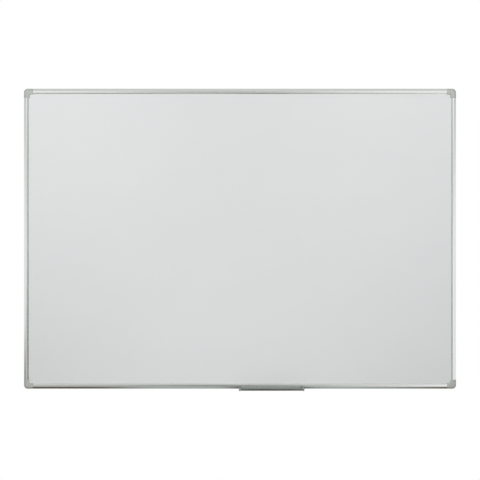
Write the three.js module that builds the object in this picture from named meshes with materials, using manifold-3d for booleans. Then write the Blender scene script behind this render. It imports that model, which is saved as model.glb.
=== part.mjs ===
// Magnetic whiteboard: a steel-faced panel in an aluminium frame with plastic corner mouldings,
// and a pen tray that slides along the bottom rail.
//
// Millimetres, +Z up. The board faces -Y, and its back lies on the wall plane y = 0.
// The origin is the centre of the back, midway between the four keyholes.
//
// Sections of the frame are drawn in two directions:
//   u runs inward from the frame's outer edge, w runs out from the wall.

import * as THREE from "three";
import { mergeVertices } from "three/addons/utils/BufferGeometryUtils.js";
import Module from "manifold-3d";

// Whole board
const WIDTH = 1800;
const HEIGHT = 1250;
const GAP = 0.3; // between pieces that touch
const OVERCUT = 1; // how far a cutting form runs past the face that it opens

// Rail extrusion
const RAIL_DEPTH = 22;
const RAIL_WALL = 1.3;
const EDGE_WIDTH = 10; // outer front edge, a shallow arc between the rail's side and its face
const EDGE_DEPTH = 8.1;
const EDGE_RADIUS = 23;
const LIP_REACH_LEVEL = 22.5; // how far the top and bottom rails reach over the panel
const LIP_REACH_UPRIGHT = 20; // the same for the left and right rails
const LIP_SLOPE_RUN = 4.5;
const LIP_SLOPE_DROP = 3.1;
const LIP_FOOT = 1; // height of the lip's edge that holds the panel
const CHAMBER_END_U = 12.8;
const PANEL_STOP_U = 14; // face that the panel's edge stops at
const LEDGE_REACH = 21;
const LEDGE_THICKNESS = 1.2;

// Lengthwise T-groove in the rail's outer side
const GROOVE_CENTRE_W = 8;
const GROOVE_MOUTH = 3.4;
const GROOVE_WIDTH = 6.8;
const GROOVE_LIP = 1.3;
const GROOVE_DEPTH = 4.6;

// Panel layers
const FRONT_SHEET = 0.4;
const CORE = 8.9;
const BACK_SHEET = 0.3;
const PANEL_EDGE_U = 14.5;
const SHEET_COLUMNS = 6; // flat fields that the writing surface is divided into
const SHEET_ROWS = 4;

// Corner moulding
const CORNER_LEG = 38;
const CORNER_WIDTH = 24.5;
const CORNER_RADIUS = 16; // outer corner, seen from the front
const CORNER_PROUD = 0.6; // in front of the rails
const CORNER_INNER_ROUNDING = 2.5;
const CORNER_WALL = 2.2;
const CORNER_SOLID_END = 11; // solid stretch at each leg's end, where the tenon starts
const TENON_LENGTH = 35;
const TENON_LOW_U = 6.2;
const TENON_HIGH_U = 12.5;
const TENON_FRONT_W = 18;

// Keyhole for a wall screw: a round entry with four slots, so the board hangs any way up
const KEYHOLE_PLATE = 1.7;
const KEYHOLE_CAVITY_END_W = 6.1;
const KEYHOLE_ENTRY_RADIUS = 4.5;
const KEYHOLE_SLOT_RADIUS = 2.4;
const KEYHOLE_SLOT_REACH = 7.4;
const KEYHOLE_HEAD_RADIUS = 4.8;
const KEYHOLE_HEAD_REACH = 9.6;

// Countersunk screws that hold the rails on the tenons
const SCREW_HEAD_RADIUS = 2.8;
const SCREW_SHANK_RADIUS = 1.45;
const SCREW_LENGTH = 9.5;
const SCREW_TIP = 1.5;
const SCREW_SUNK = 0.1;
const SCREW_FROM_CORNER = 58;
const RECESS_WIDTH = 0.7;
const RECESS_SPAN = 3;
const RECESS_DEPTH = 1.2;
const SCREW_HOLE_CLEARANCE = 0.4;

// Pen tray
const TRAY_LENGTH = 270;
const TRAY_CENTRE_X = 130.5;
const TRAY_FLOOR_TOP_U = -0.6;
const TRAY_THICKNESS = 2;
const TRAY_BACK_W = 1.5;
const TRAY_FRONT_W = 62;
const TRAY_ROUNDING = 8;
const TRAY_LIP_TOP_U = 7.5;
const TONGUE_CLEARANCE = 0.4;
const PORT_RADIUS = 1.8; // round ports that the end caps' pins plug into
const PORT_WALL = 1.2;
const REAR_PORT = { u: 1.9, w: 49, footFrontW: 52 };
const FRONT_PORT = { u: 2.9, w: 56.5, footFrontW: 56.5 }; // its front leans on the lip's bend
const PORT_MOUTH = 1.6;

// Tray end cap
const END_CAP_LENGTH = 8;
const END_CAP_PLATE = 2.2;
const END_CAP_PROUD = 0.8;
const END_CAP_RAIL_CLEARANCE = 0.8; // in front of the corner moulding, so the cap slides past it
const END_CAP_BACK_ROUNDING = 3;
const PIN_LENGTH = 10;

// Facets on curved faces
const LARGE_ARC_STEPS = 8;
const SMALL_ARC_STEPS = 4;
const ROUND_SIDES = 16;
const WELD_DISTANCE = 1e-4;

// Widths, heights and places that follow from these
const cornerDepth = RAIL_DEPTH + CORNER_PROUD;
const lipFootW = RAIL_DEPTH - LIP_SLOPE_DROP - LIP_FOOT;
const frontSheetW = lipFootW - GAP - FRONT_SHEET;
const coreW = frontSheetW - GAP - CORE;
const backSheetW = coreW - GAP - BACK_SHEET;
const ledgeTopW = backSheetW - GAP;
const tenonMiddleU = (TENON_LOW_U + TENON_HIGH_U) / 2;
const trayBottomU = TRAY_FLOOR_TOP_U - TRAY_THICKNESS;
const edgeCentre = arcCentre([0, RAIL_DEPTH - EDGE_DEPTH], [EDGE_WIDTH, RAIL_DEPTH], EDGE_RADIUS);

const wasm = await Module();
wasm.setup();

const anodisedAluminium = finish(0xbfc1bf, 0.35, 0.9);
const greyPlastic = finish(0xb2b4b0, 0.5, 0);
const whiteLacquer = finish(0xe9ebea, 0.2, 0);
const honeycombCard = finish(0xb79a6d, 0.9, 0);
const galvanisedSteel = finish(0xa4a8a9, 0.45, 0.9);
const zincSteel = finish(0xb9bab6, 0.3, 1);

function finish(color, roughness, metalness) {
  return new THREE.MeshStandardMaterial({ color, roughness, metalness });
}

// Closed geometry to a solid that can be joined and cut
function toSolid(geometry) {
  const bare = geometry.clone();
  bare.deleteAttribute("normal");
  bare.deleteAttribute("uv");
  const merged = mergeVertices(bare, WELD_DISTANCE);
  const corners = Array.from(merged.index.array);
  const triangles = [];
  for (let i = 0; i < corners.length; i += 3) {
    const [a, b, c] = corners.slice(i, i + 3);
    // A turned form has triangles without area where it meets its axis
    if (a !== b && b !== c && c !== a) triangles.push(a, b, c);
  }
  return new wasm.Manifold(
    new wasm.Mesh({
      numProp: 3,
      vertProperties: new Float32Array(merged.attributes.position.array),
      triVerts: new Uint32Array(triangles),
    }),
  );
}

// Solid back to a geometry
function toGeometry(solid) {
  const mesh = solid.getMesh();
  const geometry = new THREE.BufferGeometry();
  geometry.setAttribute("position", new THREE.BufferAttribute(new Float32Array(mesh.vertProperties), 3));
  geometry.setIndex(new THREE.BufferAttribute(new Uint32Array(mesh.triVerts), 1));
  geometry.computeVertexNormals();
  return geometry;
}

// Named mesh in the scene graph
function piece(name, geometry, material) {
  const mesh = new THREE.Mesh(geometry, material);
  mesh.name = name;
  return mesh;
}

// Points along an arc, first and last included
function arc(centreX, centreY, radius, fromDegrees, toDegrees, steps) {
  return Array.from({ length: steps + 1 }, (_, i) => {
    const angle = THREE.MathUtils.degToRad(fromDegrees + ((toDegrees - fromDegrees) * i) / steps);
    return [centreX + radius * Math.cos(angle), centreY + radius * Math.sin(angle)];
  });
}

// Centre of the arc that runs clockwise from the first point to the second
function arcCentre([u0, w0], [u1, w1], radius) {
  const chord = Math.hypot(u1 - u0, w1 - w0);
  const toChord = Math.sqrt(radius ** 2 - (chord / 2) ** 2);
  return [
    (u0 + u1) / 2 + (toChord * (w1 - w0)) / chord,
    (w0 + w1) / 2 - (toChord * (u1 - u0)) / chord,
  ];
}

// Outer front edge of a rail or a corner moulding, or the inner face behind it: every one is an arc
// about the same centre. It runs from a given u on the side to a given w on the front.
function edgeArc(radius, sideU, frontW) {
  const [centreU, centreW] = edgeCentre;
  const sideAngle = Math.acos((sideU - centreU) / radius);
  const frontAngle = Math.PI - Math.asin((frontW - centreW) / radius);
  const [from, to] = [sideAngle, frontAngle].map(THREE.MathUtils.radToDeg);
  return arc(centreU, centreW, radius, from, to, LARGE_ARC_STEPS);
}

// Stretch of a [u, w] section along +X, centred on x = 0. Outline and holes are listed the same way
// round, and the holes are turned here, because a path inside a shape runs the other way.
function extrudeSection(outline, holes, length) {
  const toVectors = (points) => points.map(([u, w]) => new THREE.Vector2(u, w));
  const shape = new THREE.Shape(toVectors(outline));
  shape.holes = holes.map((hole) => new THREE.Path(toVectors(hole).reverse()));
  const geometry = new THREE.ExtrudeGeometry(shape, { depth: length, bevelEnabled: false });
  const uIsUp = new THREE.Vector3(0, 0, 1);
  const wIsForward = new THREE.Vector3(0, -1, 0);
  const lengthIsX = new THREE.Vector3(1, 0, 0);
  geometry.applyMatrix4(new THREE.Matrix4().makeBasis(uIsUp, wIsForward, lengthIsX));
  return geometry.translate(-length / 2, 0, 0);
}

// Box between two corners given as [x, w, z]
function boxBetween([x0, w0, z0], [x1, w1, z1]) {
  const geometry = new THREE.BoxGeometry(x1 - x0, w1 - w0, z1 - z0);
  return geometry.translate((x0 + x1) / 2, -(w0 + w1) / 2, (z0 + z1) / 2);
}

// Round rod along X, from x0 to x1, at a place in the section
function rodAlongX(radius, x0, x1, { u, w }) {
  const geometry = new THREE.CylinderGeometry(radius, radius, x1 - x0, ROUND_SIDES);
  return geometry.rotateZ(Math.PI / 2).translate((x0 + x1) / 2, -w, u);
}

// Rail section, outer side at u = 0 and back at w = 0
function railOutline(lipReach) {
  const grooveLow = GROOVE_CENTRE_W - GROOVE_WIDTH / 2;
  const grooveHigh = GROOVE_CENTRE_W + GROOVE_WIDTH / 2;
  const mouthLow = GROOVE_CENTRE_W - GROOVE_MOUTH / 2;
  const mouthHigh = GROOVE_CENTRE_W + GROOVE_MOUTH / 2;
  const underFaceW = RAIL_DEPTH - RAIL_WALL;
  const faceEndU = lipReach - LIP_SLOPE_RUN;
  const slopeAngle = Math.atan2(LIP_SLOPE_DROP, LIP_SLOPE_RUN);
  return [
    [0, 0],
    [0, mouthLow],
    [GROOVE_LIP, mouthLow],
    [GROOVE_LIP, grooveLow],
    [GROOVE_DEPTH, grooveLow],
    [GROOVE_DEPTH, grooveHigh],
    [GROOVE_LIP, grooveHigh],
    [GROOVE_LIP, mouthHigh],
    [0, mouthHigh],
    ...edgeArc(EDGE_RADIUS, 0, RAIL_DEPTH),
    [faceEndU, RAIL_DEPTH],
    [lipReach, RAIL_DEPTH - LIP_SLOPE_DROP],
    [lipReach, lipFootW],
    [lipReach - RAIL_WALL, lipFootW],
    [faceEndU - RAIL_WALL * Math.tan(slopeAngle / 2), underFaceW],
    [PANEL_STOP_U, underFaceW],
    [PANEL_STOP_U, ledgeTopW],
    [LEDGE_REACH, ledgeTopW],
    [LEDGE_REACH, ledgeTopW - LEDGE_THICKNESS],
    [PANEL_STOP_U, ledgeTopW - LEDGE_THICKNESS],
    [PANEL_STOP_U, 0],
  ];
}

// Closed chamber inside the rail, which the tenons plug into
function railChamber() {
  const grooveWallU = GROOVE_DEPTH + RAIL_WALL;
  const grooveWallLow = GROOVE_CENTRE_W - GROOVE_WIDTH / 2 - RAIL_WALL;
  const grooveWallHigh = GROOVE_CENTRE_W + GROOVE_WIDTH / 2 + RAIL_WALL;
  return [
    [RAIL_WALL, RAIL_WALL],
    [RAIL_WALL, grooveWallLow],
    [grooveWallU, grooveWallLow],
    [grooveWallU, grooveWallHigh],
    [RAIL_WALL, grooveWallHigh],
    ...edgeArc(EDGE_RADIUS - RAIL_WALL, RAIL_WALL, RAIL_DEPTH - RAIL_WALL),
    [CHAMBER_END_U, RAIL_DEPTH - RAIL_WALL],
    [CHAMBER_END_U, RAIL_WALL],
  ];
}

// Solid turned about Y from [radius, y] points that run upward from the axis back to the axis
function turned(profile) {
  const points = profile.map(([radius, y]) => new THREE.Vector2(radius, y));
  return toSolid(new THREE.LatheGeometry(points, ROUND_SIDES));
}

// Room that a screw needs, open at the back
function screwHole() {
  const headRadius = SCREW_HEAD_RADIUS + SCREW_HOLE_CLEARANCE;
  const shankRadius = SCREW_SHANK_RADIUS + SCREW_HOLE_CLEARANCE;
  return turned([
    [0, -(SCREW_LENGTH + OVERCUT)],
    [shankRadius, -(SCREW_LENGTH + OVERCUT)],
    [shankRadius, -(SCREW_SUNK + headRadius - shankRadius)],
    [headRadius, -SCREW_SUNK],
    [headRadius, OVERCUT],
    [0, OVERCUT],
  ]);
}

// Countersunk screw with a cross recess, its head at the wall plane and its tip towards -Y
function countersunkScrew() {
  const body = turned([
    [0, -SCREW_LENGTH],
    [SCREW_SHANK_RADIUS, -(SCREW_LENGTH - SCREW_TIP)],
    [SCREW_SHANK_RADIUS, -(SCREW_SUNK + SCREW_HEAD_RADIUS - SCREW_SHANK_RADIUS)],
    [SCREW_HEAD_RADIUS, -SCREW_SUNK],
    [0, -SCREW_SUNK],
  ]);
  const slot = new THREE.BoxGeometry(RECESS_SPAN, 2 * RECESS_DEPTH, RECESS_WIDTH);
  const crossSlot = new THREE.BoxGeometry(RECESS_WIDTH, 2 * RECESS_DEPTH, RECESS_SPAN);
  return toGeometry(body.subtract(toSolid(slot)).subtract(toSolid(crossSlot)));
}

// One rail along X with its outer side at z = 0, drilled near both ends
function railGeometry(span, lipReach) {
  const length = span - 2 * (CORNER_LEG + GAP);
  let rail = toSolid(extrudeSection(railOutline(lipReach), [railChamber()], length));
  for (const end of [-1, 1]) {
    rail = rail.subtract(screwHole().translate([end * (span / 2 - SCREW_FROM_CORNER), 0, tenonMiddleU]));
  }
  return toGeometry(rail);
}

// Outline of the corner moulding seen from the front, as [x, z] from the frame's outer corner.
// The outer sides draw in by outerInset and the inner sides by innerInset.
function cornerOutline(leg, width, outerInset, innerInset) {
  const inner = width - innerInset;
  return [
    [leg, outerInset],
    ...arc(CORNER_RADIUS, CORNER_RADIUS, CORNER_RADIUS - outerInset, 270, 180, LARGE_ARC_STEPS),
    [outerInset, leg],
    [inner, leg],
    [inner, inner],
    [leg, inner],
  ];
}

// Closed form through a stack of outlines, back one first. Each has the same number of points,
// clockwise as seen from the front, and its own w.
function loft(layers) {
  const count = layers[0].outline.length;
  const positions = layers.flatMap(({ outline, w }) => outline.flatMap(([x, z]) => [x, -w, z]));
  const index = [];
  for (let layer = 0; layer + 1 < layers.length; layer++) {
    for (let i = 0; i < count; i++) {
      const a = layer * count + i;
      const b = layer * count + ((i + 1) % count);
      index.push(a, b + count, b, a, a + count, b + count);
    }
  }
  const flat = (outline) => outline.map(([x, z]) => new THREE.Vector2(x, z));
  const backFaces = THREE.ShapeUtils.triangulateShape(flat(layers[0].outline), []);
  const frontFaces = THREE.ShapeUtils.triangulateShape(flat(layers.at(-1).outline), []);
  const frontStart = (layers.length - 1) * count;
  backFaces.forEach(([a, b, c]) => index.push(a, c, b));
  frontFaces.forEach(([a, b, c]) => index.push(frontStart + a, frontStart + b, frontStart + c));
  const geometry = new THREE.BufferGeometry();
  geometry.setAttribute("position", new THREE.Float32BufferAttribute(positions, 3));
  geometry.setIndex(index);
  return geometry;
}

// L-shaped block from backW to the front end of its outer edge, which is an edgeArc
function shapedCorner(leg, width, backW, edge, innerRounding) {
  const [sideInset] = edge[0];
  const [, frontW] = edge.at(-1);
  const layers = [{ outline: cornerOutline(leg, width, sideInset, 0), w: backW }];
  for (const [outerInset, w] of edge) {
    const over = Math.max(0, w - (frontW - innerRounding));
    const innerInset = innerRounding - Math.sqrt(innerRounding ** 2 - over ** 2);
    layers.push({ outline: cornerOutline(leg, width, outerInset, innerInset), w });
  }
  return loft(layers);
}

// Stadium-shaped plug, upright or level, centred on the keyhole
function keyholeSlot(radius, reach, backW, frontW, upright) {
  const straight = reach - radius;
  const rounded = [
    ...arc(straight, 0, radius, 90, -90, LARGE_ARC_STEPS),
    ...arc(-straight, 0, radius, 270, 90, LARGE_ARC_STEPS),
  ];
  const middle = CORNER_WIDTH / 2;
  const outline = rounded.map(([along, across]) =>
    upright ? [middle - across, middle + along] : [middle + along, middle + across],
  );
  return loft([
    { outline, w: backW },
    { outline, w: frontW },
  ]);
}

function keyhole() {
  const middle = CORNER_WIDTH / 2;
  const throughPlate = 2 * (KEYHOLE_PLATE + OVERCUT);
  const radius = KEYHOLE_ENTRY_RADIUS;
  const entry = new THREE.CylinderGeometry(radius, radius, throughPlate, ROUND_SIDES);
  let cut = toSolid(entry.translate(middle, 0, middle));
  for (const upright of [false, true]) {
    const slotEndW = KEYHOLE_PLATE + OVERCUT;
    const slot = keyholeSlot(KEYHOLE_SLOT_RADIUS, KEYHOLE_SLOT_REACH, -OVERCUT, slotEndW, upright);
    const room = keyholeSlot(
      KEYHOLE_HEAD_RADIUS,
      KEYHOLE_HEAD_REACH,
      KEYHOLE_PLATE,
      KEYHOLE_CAVITY_END_W,
      upright,
    );
    cut = cut.add(toSolid(slot)).add(toSolid(room));
  }
  return cut;
}

// Corner moulding with the frame's outer corner at x = 0, z = 0 and its legs along +X and +Z
function cornerGeometry() {
  const edgeRadius = EDGE_RADIUS + CORNER_PROUD;
  const outerEdge = edgeArc(edgeRadius, 0, cornerDepth);
  const innerEdge = edgeArc(edgeRadius - CORNER_WALL, CORNER_WALL, cornerDepth - CORNER_WALL);
  const hollowLeg = CORNER_LEG - CORNER_SOLID_END;
  const hollowBackW = KEYHOLE_CAVITY_END_W + CORNER_WALL;
  const pocketEnd = CORNER_LEG + OVERCUT;
  const tenonEnd = CORNER_LEG + TENON_LENGTH;
  const tenonRoot = CORNER_LEG - CORNER_SOLID_END / 2;
  const tenonBackW = RAIL_WALL + GAP;

  const block = shapedCorner(CORNER_LEG, CORNER_WIDTH, 0, outerEdge, CORNER_INNER_ROUNDING);
  const hollow = shapedCorner(hollowLeg, PANEL_STOP_U + OVERCUT, hollowBackW, innerEdge, 0);
  const panelPocket = boxBetween([PANEL_STOP_U, ledgeTopW, PANEL_STOP_U], [pocketEnd, lipFootW, pocketEnd]);
  const tenonAlongX = boxBetween(
    [tenonRoot, tenonBackW, TENON_LOW_U],
    [tenonEnd, TENON_FRONT_W, TENON_HIGH_U],
  );
  const tenonAlongZ = boxBetween(
    [TENON_LOW_U, tenonBackW, tenonRoot],
    [TENON_HIGH_U, TENON_FRONT_W, tenonEnd],
  );
  const solid = toSolid(block)
    .subtract(toSolid(hollow))
    .subtract(toSolid(panelPocket))
    .subtract(keyhole())
    .add(toSolid(tenonAlongX))
    .add(toSolid(tenonAlongZ))
    .subtract(screwHole().translate([SCREW_FROM_CORNER, 0, tenonMiddleU]))
    .subtract(screwHole().translate([tenonMiddleU, 0, SCREW_FROM_CORNER]));
  return toGeometry(solid);
}

// Flat layer of the panel, from backW outward, with its faces split into columns and rows
function panelLayer(thickness, backW, columns, rows) {
  const width = WIDTH - 2 * PANEL_EDGE_U;
  const height = HEIGHT - 2 * PANEL_EDGE_U;
  const geometry = new THREE.BoxGeometry(width, thickness, height, columns, 1, rows);
  return geometry.translate(0, -(backW + thickness / 2), 0);
}

// Tray section: a floor under the rail, a raised front lip, and a T-shaped tongue for the groove
function trayOutline() {
  const neck = GROOVE_MOUTH / 2 - TONGUE_CLEARANCE;
  const head = GROOVE_WIDTH / 2 - TONGUE_CLEARANCE;
  const headLowU = GROOVE_LIP + TONGUE_CLEARANCE;
  const headHighU = GROOVE_DEPTH - TONGUE_CLEARANCE;
  const bendW = TRAY_FRONT_W - TRAY_ROUNDING;
  const bendU = trayBottomU + TRAY_ROUNDING;
  const lipRadius = TRAY_THICKNESS / 2;
  return [
    [trayBottomU, TRAY_BACK_W],
    ...arc(bendU, bendW, TRAY_ROUNDING, 180, 90, LARGE_ARC_STEPS),
    ...arc(TRAY_LIP_TOP_U - lipRadius, TRAY_FRONT_W - lipRadius, lipRadius, 90, -90, SMALL_ARC_STEPS),
    ...arc(bendU, bendW, TRAY_ROUNDING - TRAY_THICKNESS, 90, 180, LARGE_ARC_STEPS),
    [TRAY_FLOOR_TOP_U, GROOVE_CENTRE_W + neck],
    [headLowU, GROOVE_CENTRE_W + neck],
    [headLowU, GROOVE_CENTRE_W + head],
    [headHighU, GROOVE_CENTRE_W + head],
    [headHighU, GROOVE_CENTRE_W - head],
    [headLowU, GROOVE_CENTRE_W - head],
    [headLowU, GROOVE_CENTRE_W - neck],
    [TRAY_FLOOR_TOP_U, GROOVE_CENTRE_W - neck],
    [TRAY_FLOOR_TOP_U, TRAY_BACK_W],
  ];
}

// Tray extrusion, centred on x = 0, with a slit port for each row of end cap pins
function trayGeometry() {
  const length = TRAY_LENGTH - 2 * (END_CAP_LENGTH + GAP);
  const end = length / 2;
  const over = end + OVERCUT;
  const bossRadius = PORT_RADIUS + PORT_WALL;
  const ports = [REAR_PORT, FRONT_PORT];
  let tray = toSolid(extrudeSection(trayOutline(), [], length));
  for (const port of ports) {
    const foot = boxBetween(
      [-end, port.w - bossRadius, TRAY_FLOOR_TOP_U - TRAY_THICKNESS / 2],
      [end, port.footFrontW, port.u],
    );
    tray = tray.add(toSolid(rodAlongX(bossRadius, -end, end, port))).add(toSolid(foot));
  }
  for (const port of ports) {
    const bore = rodAlongX(PORT_RADIUS, -over, over, port);
    const slit = boxBetween(
      [-over, port.w - PORT_MOUTH / 2, port.u],
      [over, port.w + PORT_MOUTH / 2, port.u + bossRadius + OVERCUT],
    );
    tray = tray.subtract(toSolid(bore)).subtract(toSolid(slit));
  }
  return toGeometry(tray);
}

// Side view of the tray's end cap, drawn in from its outer form by an inset
function endCapOutline(inset) {
  const bottomU = trayBottomU - END_CAP_PROUD + inset;
  const frontW = TRAY_FRONT_W + END_CAP_PROUD - inset;
  const topU = TRAY_LIP_TOP_U + END_CAP_PROUD - inset;
  const backW = cornerDepth + END_CAP_RAIL_CLEARANCE + inset;
  const bend = TRAY_ROUNDING + END_CAP_PROUD - inset;
  const topBend = Math.min(TRAY_THICKNESS, topU - (bottomU + bend));
  const backBend = END_CAP_BACK_ROUNDING;
  return [
    ...arc(bottomU + bend, frontW - bend, bend, 180, 90, LARGE_ARC_STEPS),
    ...arc(topU - topBend, frontW - topBend, topBend, 90, 0, SMALL_ARC_STEPS),
    ...arc(topU - backBend, backW + backBend, backBend, 0, -90, SMALL_ARC_STEPS),
    [bottomU, backW],
  ];
}

// End cap with its plate outward of x = 0 by the cap's length, and its pins towards -X
function endCapGeometry() {
  const middleX = END_CAP_LENGTH / 2;
  const foot = boxBetween(
    [0, TRAY_BACK_W, trayBottomU - END_CAP_PROUD],
    [END_CAP_LENGTH, TRAY_FRONT_W - TRAY_ROUNDING, TRAY_FLOOR_TOP_U],
  );
  const pocketLength = END_CAP_LENGTH - END_CAP_PLATE + OVERCUT;
  let cap = toSolid(extrudeSection(endCapOutline(0), [], END_CAP_LENGTH).translate(middleX, 0, 0));
  const pocket = extrudeSection(endCapOutline(END_CAP_PLATE), [], pocketLength);
  cap = cap.add(toSolid(foot)).subtract(toSolid(pocket.translate(pocketLength / 2 - OVERCUT, 0, 0)));
  for (const port of [REAR_PORT, FRONT_PORT]) {
    const plateMiddle = END_CAP_LENGTH - END_CAP_PLATE / 2;
    cap = cap.add(toSolid(rodAlongX(PORT_RADIUS - GAP, -PIN_LENGTH, plateMiddle, port)));
  }
  return toGeometry(cap);
}

// Each side is the bottom one turned about Y. Its ends are named in the order from local -X to +X.
const quarter = Math.PI / 2;
const level = { span: WIDTH, across: HEIGHT, lipReach: LIP_REACH_LEVEL };
const upright = { span: HEIGHT, across: WIDTH, lipReach: LIP_REACH_UPRIGHT };
const sides = [
  { ...level, name: "bottom", turn: 0, ends: ["left", "right"] },
  { ...upright, name: "left", turn: quarter, ends: ["top", "bottom"] },
  { ...level, name: "top", turn: 2 * quarter, ends: ["right", "left"] },
  { ...upright, name: "right", turn: -quarter, ends: ["bottom", "top"] },
];

const corners = [
  { name: "bottom_left", turn: 0, x: -1, z: -1 },
  { name: "top_left", turn: quarter, x: -1, z: 1 },
  { name: "top_right", turn: 2 * quarter, x: 1, z: 1 },
  { name: "bottom_right", turn: -quarter, x: 1, z: -1 },
];

// Rail and its two screws, turned into place as one side of the frame
function frameSide({ name, turn, span, across, lipReach, ends }) {
  const side = new THREE.Group();
  side.rotation.y = turn;
  const rail = piece(`rail_${name}`, railGeometry(span, lipReach), anodisedAluminium);
  rail.position.z = -across / 2;
  side.add(rail);
  ends.forEach((end, i) => {
    const screw = piece(`screw_${name}_rail_${end}`, countersunkScrew(), zincSteel);
    screw.position.set((i ? 1 : -1) * (span / 2 - SCREW_FROM_CORNER), 0, tenonMiddleU - across / 2);
    side.add(screw);
  });
  return side;
}

function cornerMoulding({ name, turn, x, z }) {
  const moulding = piece(`corner_${name}`, cornerGeometry(), greyPlastic);
  moulding.position.set((x * WIDTH) / 2, 0, (z * HEIGHT) / 2);
  moulding.rotation.y = turn;
  return moulding;
}

function panel() {
  const layers = new THREE.Group();
  layers.add(
    piece("front_sheet", panelLayer(FRONT_SHEET, frontSheetW, SHEET_COLUMNS, SHEET_ROWS), whiteLacquer),
    piece("core_panel", panelLayer(CORE, coreW, 1, 1), honeycombCard),
    piece("back_sheet", panelLayer(BACK_SHEET, backSheetW, 1, 1), galvanisedSteel),
  );
  return layers;
}

// Tray and end caps, with the underside of the bottom rail at z = 0
function penTray() {
  const tray = new THREE.Group();
  const left = piece("tray_end_cap_left", endCapGeometry(), greyPlastic);
  const right = piece("tray_end_cap_right", endCapGeometry(), greyPlastic);
  right.position.x = TRAY_LENGTH / 2 - END_CAP_LENGTH;
  left.geometry = mirroredAcrossX(left.geometry);
  left.position.x = -right.position.x;
  tray.add(piece("pen_tray", trayGeometry(), anodisedAluminium), left, right);
  tray.position.set(TRAY_CENTRE_X, 0, -HEIGHT / 2);
  return tray;
}

// Left-hand copy of a geometry, with its faces turned so that they still point out
function mirroredAcrossX(geometry) {
  const copy = geometry.clone().scale(-1, 1, 1);
  const index = copy.index.array;
  for (let i = 0; i < index.length; i += 3) {
    [index[i], index[i + 1]] = [index[i + 1], index[i]];
  }
  copy.computeVertexNormals();
  return copy;
}

const whiteboard = new THREE.Group();
whiteboard.name = "magnetic_whiteboard";
whiteboard.add(...sides.map(frameSide), ...corners.map(cornerMoulding), panel(), penTray());

export default whiteboard;
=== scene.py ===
"""Magnetic whiteboard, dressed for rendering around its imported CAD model.

Metres, +Z up, the board facing -Y with its back on y = 0. Sections are written in millimetres in
the same two directions as the CAD: u runs inward from the frame's outer edge, w out from the wall.
"""

import math

import bmesh
import bpy
from mathutils import Matrix, Vector


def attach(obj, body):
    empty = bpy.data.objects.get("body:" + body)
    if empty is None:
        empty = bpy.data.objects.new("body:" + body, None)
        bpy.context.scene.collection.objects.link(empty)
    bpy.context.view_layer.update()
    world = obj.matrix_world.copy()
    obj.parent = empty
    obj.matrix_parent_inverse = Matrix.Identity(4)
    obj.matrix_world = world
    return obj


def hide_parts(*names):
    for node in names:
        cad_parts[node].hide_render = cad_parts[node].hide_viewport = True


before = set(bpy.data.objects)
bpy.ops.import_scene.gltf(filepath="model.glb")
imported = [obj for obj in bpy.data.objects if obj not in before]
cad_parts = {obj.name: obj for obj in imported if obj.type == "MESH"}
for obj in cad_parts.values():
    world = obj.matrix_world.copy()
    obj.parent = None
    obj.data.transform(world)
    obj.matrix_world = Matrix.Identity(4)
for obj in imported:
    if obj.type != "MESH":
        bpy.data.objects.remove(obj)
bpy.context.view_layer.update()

MM = 0.001

# Whole board
WIDTH = 1800
HEIGHT = 1250
GAP = 0.3
OVERCUT = 1

# Rail extrusion
RAIL_DEPTH = 22
RAIL_WALL = 1.3
EDGE_RADIUS = 23
EDGE_CENTRE = (18.898, 0.792)  # of the outer front edge's arc, as (u, w)
EDGE_BLENDS = (1.2, 0.8)  # where that arc meets the side and the face
LIP_REACH = {"level": 22.5, "upright": 20}
LIP_SLOPE_RUN = 4.5
LIP_SLOPE_DROP = 3.1
LIP_FOOT_W = 17.9
LIP_BEND_BACK = 0.4
CHAMBER_END_U = 12.8
PANEL_STOP_U = 14
LEDGE_REACH = 21
LEDGE_TOP_W = 7.1
LEDGE_THICKNESS = 1.2
LEDGE_ROUNDING = 0.35
GROOVE_W = 8
GROOVE_MOUTH = 3.4
GROOVE_WIDTH = 6.8
GROOVE_LIP = 1.3
GROOVE_DEPTH = 4.6

# Corner moulding
CORNER_LEG = 38
CORNER_WIDTH = 24.5
CORNER_RADIUS = 16
CORNER_DEPTH = 22.6
CORNER_EDGE_RADIUS = 23.6
CORNER_EDGE_BLENDS = (1.6, 0.8)
CORNER_WALL = 2.2
CORNER_INNER_ROUNDING = 2.5
CORNER_END_ROUNDING = 0.7
CORNER_BACK_ROUNDING = 0.3
CORNER_TIP_ROUNDING = 0.4
NOTCH_RADIUS = 0.8
HOLLOW_LEG = 27
TENON_ROOT = 32.5
TENON_END = 73
TENON_U = (6.2, 12.5)
TENON_W = (1.6, 18)
TENON_ROUNDING = 0.4
TENON_LEAD = 1.5  # length of the bevel at the tip
TENON_TIP_INSET = 0.5

# Keyhole, centred in the moulding
KEYHOLE_PLATE = 1.7
KEYHOLE_CAVITY_END_W = 6.1
KEYHOLE_ENTRY_RADIUS = 4.5
KEYHOLE_SLOT = (2.4, 7.4)  # radius, and reach from the centre
KEYHOLE_HEAD = (4.8, 9.6)

# Screws
SCREW_HEAD_RADIUS = 2.8
SCREW_SHANK_RADIUS = 1.45
SCREW_CORE_RADIUS = 1.1
SCREW_LENGTH = 9.5
SCREW_SUNK = 0.1
SCREW_PITCH = 1
SCREW_THREADS = 6
SCREW_TIP = 1.4  # from the tip to the first crest
SCREW_POINT = 0.5  # radius and height of the blunt point
SCREW_NECK = 0.35  # length over which the core widens to meet the head
SCREW_SIDES = 40
SCREW_FROM_CORNER = 58
SCREW_U = sum(TENON_U) / 2
SCREW_CLEARANCE = 0.4
SCREW_HOLE_SIDES = 48
RECESS_REACH = 1.5
RECESS_HALF_WIDTH = 0.36
RECESS_ROUNDING = 0.12
RECESS_DEPTH = 1.4
RECESS_TAPER = (0.42, 0.75)  # the recess's reach and width at its bottom, as shares of the top's

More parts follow.
